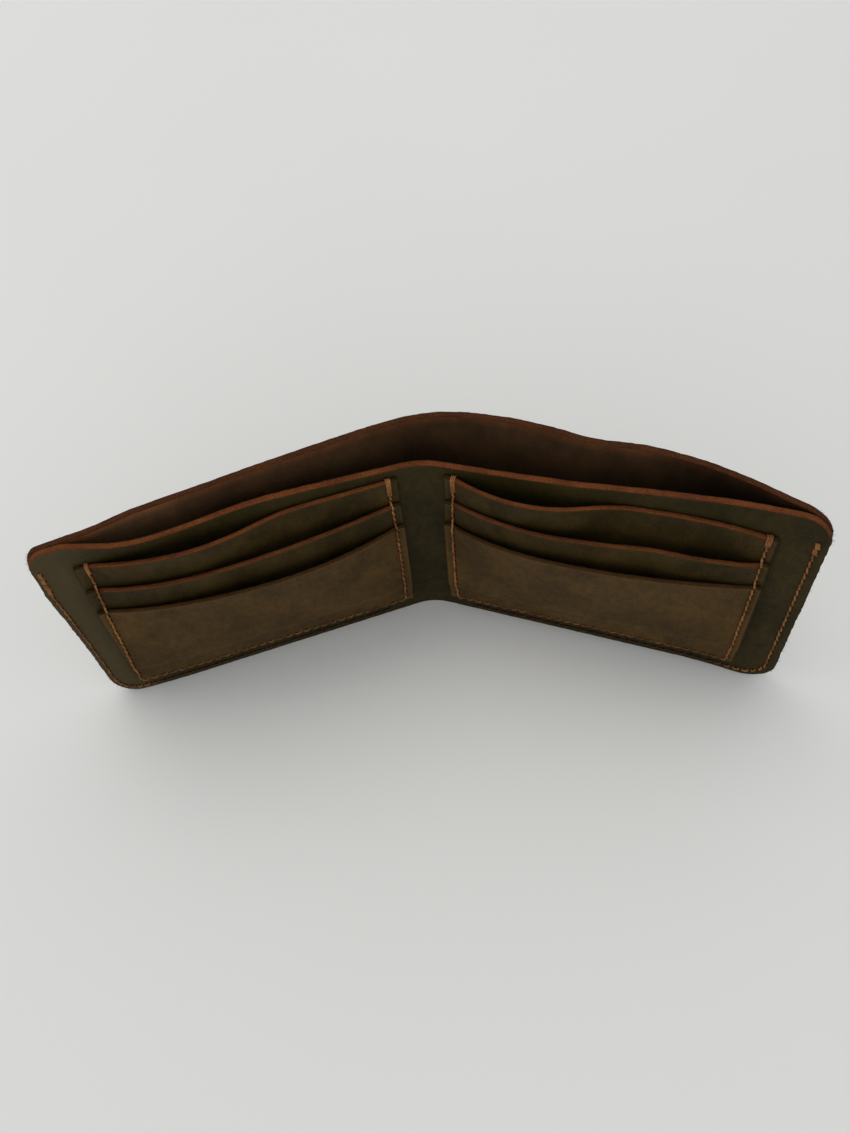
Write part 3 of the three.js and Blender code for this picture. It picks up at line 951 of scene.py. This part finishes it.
for side, half in ((-1, "left"), (1, "right")):
    for index, (name, foot, mouth, _, _) in enumerate(POCKETS):
        columns = side * sheet_lines(STACK_START + ARRIS, STACK_END - ARRIS, 1.0, (STITCH_START, STITCH_END))
        if side < 0:
            columns = columns[::-1]
        low, high = foot + ARRIS, mouth - ARRIS
        far = LEFT_STITCH_TOP if side < 0 else STITCH_END
        heights = sheet_lines(low, high, 1.1, (STITCH_BOTTOM,) if index == 2 else ())
        pocket = leather_sheet(
            f"{half}_pocket_{name}_leather",
            columns,
            (heights - low) / (high - low),
            level(low),
            level(high),
            partial(pocket_back, index),
            POCKET_THICKNESS,
            [pocket_seam(side)],
            [pocket_grain if index == 2 else deep_grain, flesh, cut_edge],
            30 + 10 * index + 5 * side,
            mouth_rust(index, far),
            ragged=POCKET_RAGGED,
        )
        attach(pocket, f"{half}_half")
        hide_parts(f"{half}_pocket_{name}")

# ---------------------------------------------------------------- thread


def tack(u, length, seed, count, radius):
    """Passes of thread side by side, from holes below the back pocket's mouth up and over it to the liner."""
    mouth = POCKETS[0][2]
    front = pocket_front(0, np.array([u]), np.array([mouth]))[0]
    rng = np.random.default_rng(seed)
    fine = np.linspace(0, 1, 48)
    lines = []
    for k in range(count):
        shift = (k - (count - 1) / 2) * radius * 1.7
        top = radius * (0.9 + 0.4 * rng.random())
        foot = mouth - length + rng.uniform(-0.4, 0.4)
        # Out of the hole, up the pocket, over its mouth and down behind it: share of the way, spread, z, n
        way = np.array(
            [
                (0.00, 0.85, foot, front - 0.5),
                (0.06, 0.88, foot + 0.35, front + radius),
                (0.40, 0.95, (foot + mouth) / 2, front + radius * 1.2),
                (0.72, 1.00, mouth - 0.5, front + radius),
                (0.80, 1.00, mouth + top * 0.7, front + 0.1),
                (0.86, 1.00, mouth + top, front - 0.7),
                (0.92, 1.00, mouth + top * 0.5, front - 1.4),
                (1.00, 0.90, mouth - 1.6, front - 1.5),
            ]
        )
        spread, z, n = (np.interp(fine, way[:, 0], column) for column in way[:, 1:].T)
        lines.append(np.stack([u + shift * spread, z, n], 1))
    centres = np.array(lines)
    for _ in range(3):
        centres[:, 1:-1] = (centres[:, :-2] + 2 * centres[:, 1:-1] + centres[:, 2:]) / 4
    # The outward side turns with the thread as it goes over the mouth
    over = np.clip((fine - 0.76) / 0.2, 0, 1) * math.pi
    out = np.zeros_like(centres)
    out[..., 2] = np.cos(over)
    out[..., 1] = np.sin(over)
    return twisted(centres, out, radius, length * 0.75, rng.uniform(0, 6, count))


# Loose fibres on each half
MOUTH_FIBRES, STACK_FIBRES = (110, 90, 50), 24
TOP_FIBRES, FOOT_FIBRES, END_FIBRES, TOP_CORNER_FIBRES, FOOT_CORNER_FIBRES = 150, 50, 70, 80, 110


def mouth_fuzz(side, seed):
    """Fibres along the mouths of one half's pockets and down the stack's outer edges."""
    rng = np.random.default_rng(seed)
    groups = []
    for index, count in enumerate(MOUTH_FIBRES):
        mouth = POCKETS[index][2]
        u = side * rng.uniform(STITCH_START, LEFT_STITCH_TOP, count)
        z = np.full(count, mouth - 0.1)
        n = pocket_back(index, u, z) + POCKET_THICKNESS * rng.uniform(0.1, 0.95, count)
        groups.append(fibres(np.stack([u, z, n], 1), np.array([0, 0.8, 0.25]), seed + index, 0.2, 0.7))
    low, high = POCKETS[2][1], POCKETS[2][2]
    z = rng.uniform(low + 1, high - 1, STACK_FIBRES)
    u = np.full(STACK_FIBRES, side * (STACK_END - 0.1))
    n = pocket_back(2, u, z) + POCKET_THICKNESS * rng.uniform(0.2, 0.9, STACK_FIBRES)
    groups.append(fibres(np.stack([u, z, n], 1), np.array([side * 0.9, 0, 0.2]), seed + 5, 0.2, 0.6))
    return groups


def outline_fuzz(side, seed):
    """Fibres along the top, the end, the corners and the foot of one half's liner and shell."""
    rng = np.random.default_rng(seed)
    straight = HALF_LENGTH - CORNER_RADIUS
    groups = []

    def grow(u, z, aim_u, aim_z, shortest, longest):
        """Fibres from places on the outline, some on the shell and some on the liner."""
        behind = rng.random(len(u)) < 0.45
        in_liner = liner_bow(side * u, z) + LINER_THICKNESS * rng.uniform(0.1, 0.95, len(u))
        in_shell = shell_behind(side * u, z) + SHELL_THICKNESS * rng.uniform(0.1, 0.9, len(u))
        base = np.stack([side * u, z, np.where(behind, in_shell, in_liner)], 1)
        aim = np.stack([side * aim_u, aim_z, rng.uniform(-0.2, 0.4, len(u))], 1)
        groups.append(fibres(base, aim, seed + len(groups) + 1, shortest, longest))

    u = rng.uniform(EDGE_SEAM_START + 2, straight, TOP_FIBRES)
    grow(u, liner_top(u) - 0.1, 0 * u, 1 + 0 * u, 0.2, 0.7)
    u = rng.uniform(EDGE_SEAM_START + 2, straight, FOOT_FIBRES)
    grow(u, 0 * u + 0.3, 0 * u, 0 * u - 0.1, 0.3, 0.9)
    z = rng.uniform(CORNER_RADIUS, LEFT_SEAM_TOP, END_FIBRES)
    grow(0 * z + HALF_LENGTH - 0.1, z, 0 * z + 1, 0 * z, 0.2, 0.9)
    top_radius = TOP_LEFT_RADIUS if side < 0 else TOP_RIGHT_RADIUS
    for at_top, radius, count in (
        (True, top_radius, TOP_CORNER_FIBRES),
        (False, CORNER_RADIUS, FOOT_CORNER_FIBRES),
    ):
        turn = rng.uniform(0.1, math.pi / 2, count)
        u = HALF_LENGTH - radius + (radius - 0.1) * np.sin(turn)
        rise = radius - (radius - 0.1) * np.cos(turn)
        z = liner_top(u) - worn_down(side * u, *LINER_FALL) - rise if at_top else rise
        grow(u, z, np.sin(turn), np.cos(turn) * (1 if at_top else -1), 0.3, 1.1)
    return groups


for side, half in ((-1, "left"), (1, "right")):
    body = f"{half}_half"
    path = pocket_seam(side)
    groups = [
        stitches(path, stack_front, 1, 100 + side),
        stitches(path, liner_behind, -1, 110 + side, slant=-0.2),
        tack(side * STITCH_START, INNER_TACK, 120 + side, 3, THREAD * 0.4),
        tack(path[-1][0], OUTER_TACK, 130 + side, 3 if side > 0 else 2, THREAD * 0.45),
    ]
    fuzz = mouth_fuzz(side, 300 + side)
    thread_object(f"{half}_pocket_stitches", groups, fuzz, body, [f"{half}_pocket_thread"])
    path = edge_seam(side)
    groups = [
        stitches(path, liner_front, 1, 140 + side),
        stitches(path, shell_behind, -1, 150 + side, slant=-0.2),
    ]
    first = stitch_count(path) - (LEFT_DOUBLED if side < 0 else RIGHT_DOUBLED)
    for pass_seed, shift in ((180, -BESIDE), (190, BESIDE)):
        groups.append(stitches(path + (shift, 0), liner_front, 1, pass_seed + side, first=first))
    fuzz = outline_fuzz(side, 400 + side)
    thread_object(f"{half}_edge_stitches", groups, fuzz, body, [f"{half}_edge_thread"])
    for index in (0, 1):
        name, front = POCKETS[index][0], partial(pocket_front, index)
        groups = [stitches(foot_seam(side, index), front, 1, 160 + side + index, radius=FOOT_THREAD_RADIUS)]
        thread_object(f"{half}_foot_stitches_{name}", groups, [], body, [f"{half}_foot_thread_{name}"])

# ---------------------------------------------------------------- floor, light and camera

FLOOR_HALF = 2.0  # metres
floor_corners = [(x * FLOOR_HALF, y * FLOOR_HALF, 0) for x, y in ((-1, -1), (1, -1), (1, 1), (-1, 1))]
floor = mesh_object("paper_floor", floor_corners, [(0, 1, 2, 3)], [make_floor_material()])

world = bpy.data.worlds.new("soft_room")
world.use_nodes = True
background = world.node_tree.nodes["Background"]
background.inputs["Color"].default_value = (0.97, 0.985, 1.0, 1)
background.inputs["Strength"].default_value = 0.745
bpy.context.scene.world = world


def turn_to(right, up, back):
    """The turn that points an object's own X, Y and Z along three directions."""
    return Matrix((right, up, back)).transposed().to_4x4()


def area_light(name, place, size, power, colour):
    """A round light in metres and watts, turned to the wallet."""
    data = bpy.data.lights.new(name, "AREA")
    data.shape, data.size, data.energy, data.color = "DISK", size, power, colour
    obj = bpy.data.objects.new(name, data)
    bpy.context.scene.collection.objects.link(obj)
    away = np.array(place) / np.linalg.norm(place)
    right = np.cross((0, 0, 1), away)
    right /= np.linalg.norm(right)
    obj.matrix_world = Matrix.Translation(place) @ turn_to(right, np.cross(away, right), away)


area_light("window", place=(-0.45, 0.38, 1.3), size=1.1, power=4.0, colour=(1.0, 0.985, 0.95))


def look(place, pitch, yaw, roll, focal_share):
    """A camera from its place in metres, its turn in degrees and its focal length in frame heights."""
    pitch, yaw, roll = (math.radians(a) for a in (pitch, yaw, roll))
    ahead = np.array([math.sin(yaw) * math.cos(pitch), math.cos(yaw) * math.cos(pitch), -math.sin(pitch)])
    right = np.array([math.cos(yaw), -math.sin(yaw), 0.0])
    up = np.cross(right, ahead)
    turned_right = right * math.cos(roll) + up * math.sin(roll)
    turned_up = up * math.cos(roll) - right * math.sin(roll)
    data = bpy.data.cameras.new("camera")
    data.sensor_width = 36.0
    data.sensor_fit = "AUTO"
    data.lens = 36.0 * focal_share
    data.clip_start = 0.01
    obj = bpy.data.objects.new("camera", data)
    bpy.context.scene.collection.objects.link(obj)
    obj.matrix_world = Matrix.Translation(place) @ turn_to(turned_right, turned_up, -ahead)
    bpy.context.scene.camera = obj


look(place=(0.01250, -0.17502, 0.34886), pitch=60.062, yaw=-4.446, roll=-6.423, focal_share=1.0165)
bpy.context.scene.view_settings.view_transform = "Standard"
